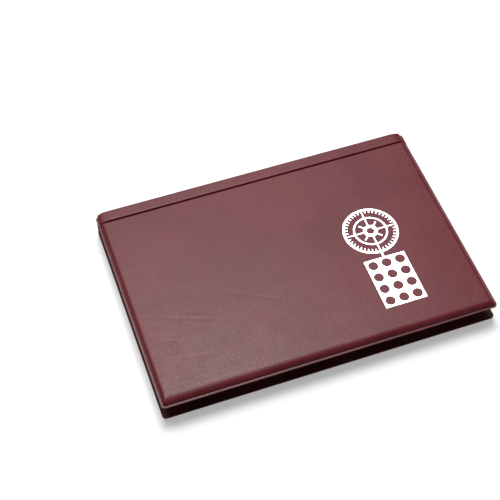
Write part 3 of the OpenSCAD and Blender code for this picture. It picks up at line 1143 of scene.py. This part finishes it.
pocket_mesh = pocket_film_mesh()
for page in PAGES:
    turn = joint_at[page + "_turn"]
    back_film = shell(page + "_back_sheet", back_film_points(turn.z), FILM, film_material)
    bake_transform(back_film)
    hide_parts(page + "_back_film")
    pocket_film = bpy.data.objects.new(page + "_pocket_sheet", pocket_mesh)
    bpy.context.scene.collection.objects.link(pocket_film)
    pocket_film.location.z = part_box(page + "_pocket_film")[1].z - FILM / 2
    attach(pocket_film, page)
    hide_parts(page + "_pocket_film")

# ---- Looks of the CAD nodes that stay

KEPT_LOOKS = {
    "back_foam_pad": foam_material,
    "front_foam_pad": foam_material,
    "back_band_pad": foam_material,
    "front_band_pad": foam_material,
    "spine_pad": foam_material,
    "back_board": board_material,
    "front_board": board_material,
    "page_binding_strip": milky_material,
}
for node_name, material in KEPT_LOOKS.items():
    for material_slot in frame["nodes"][node_name].material_slots:
        material_slot.material = material


# ---- Floor, light and camera

# The floor is a light table: what it gives off by itself keeps the album's shadow pale
FLOOR_GLOW = 0.36


def floor_material():
    shader = Shader("pale_light_table", Roughness=0.85, Specular_IOR_Level=0.2)
    shader.set(Emission_Color=rgb(0.99, 1.0, 1.0), Emission_Strength=FLOOR_GLOW)
    place = shader.object_place()
    mottle = shader.noise(place, 60 * MM, 4)
    fibres = shader.noise(place, 0.7 * MM, 3)
    shader.set(Base_Color=shader.mix(mottle, rgb(0.5, 0.505, 0.505), rgb(0.53, 0.53, 0.53)))
    shader.set(Normal=shader.bump(fibres, 0.02 * MM))
    return shader.material


FLOOR_HALF = 1.5
floor_mesh = bpy.data.meshes.new("floor")
floor_corners = [(-1, -1), (1, -1), (1, 1), (-1, 1)]
floor_mesh.from_pydata([(FLOOR_HALF * x, FLOOR_HALF * y, 0) for x, y in floor_corners], [], [(0, 1, 2, 3)])
floor = link("floor", floor_mesh, floor_material())

world = bpy.data.worlds.new("pale_room")
bpy.context.scene.world = world
world.use_nodes = True
WORLD_LIGHT = 0.16
world.node_tree.nodes["Background"].inputs["Color"].default_value = rgb(0.98, 0.99, 1.0)
world.node_tree.nodes["Background"].inputs["Strength"].default_value = WORLD_LIGHT


def direction(azimuth, elevation):
    """Unit vector from the album towards a place round it, in degrees as the views count them."""
    a, e = math.radians(azimuth), math.radians(elevation)
    return Vector((math.sin(a) * math.cos(e), -math.cos(a) * math.cos(e), math.sin(e)))


def softbox(name, azimuth, elevation, distance, size, brightness):
    """A square lamp that faces the album. Brightness is its own luminance, with 1 as white."""
    light = bpy.data.lights.new(name, "AREA")
    light.shape = "SQUARE"
    light.size = size
    light.energy = brightness * math.pi * size * size
    lamp = bpy.data.objects.new(name, light)
    bpy.context.scene.collection.objects.link(lamp)
    lamp.location = direction(azimuth, elevation) * distance
    lamp.rotation_euler = direction(azimuth, elevation).to_track_quat("Z", "Y").to_euler()
    return lamp


softbox("window_behind", azimuth=180, elevation=62, distance=1.2, size=1.1, brightness=4.5)
softbox("lamp_above", azimuth=166, elevation=74, distance=1.1, size=0.3, brightness=18)
softbox("window_gap", azimuth=174, elevation=66, distance=1.1, size=0.28, brightness=13)

# The camera as fitted to the album's corners, rim, groove and spine. Lens and sensor are in mm.
CAMERA_AZIMUTH, CAMERA_ELEVATION = -19.42, 53.84
CAMERA_DISTANCE = 658.7 * MM
CAMERA_AIM = Vector((-14.95, 22.5, 0)) * MM
CAMERA_LENS, SENSOR_WIDTH = 87.2, 36
camera_data = bpy.data.cameras.new("camera")
camera_data.lens = CAMERA_LENS
camera_data.sensor_width = SENSOR_WIDTH
camera = bpy.data.objects.new("camera", camera_data)
bpy.context.scene.collection.objects.link(camera)
towards_camera = direction(CAMERA_AZIMUTH, CAMERA_ELEVATION)
camera.location = CAMERA_AIM + towards_camera * CAMERA_DISTANCE
camera.rotation_euler = towards_camera.to_track_quat("Z", "Y").to_euler()
bpy.context.scene.camera = camera
bpy.context.scene.view_settings.view_transform = "Standard"
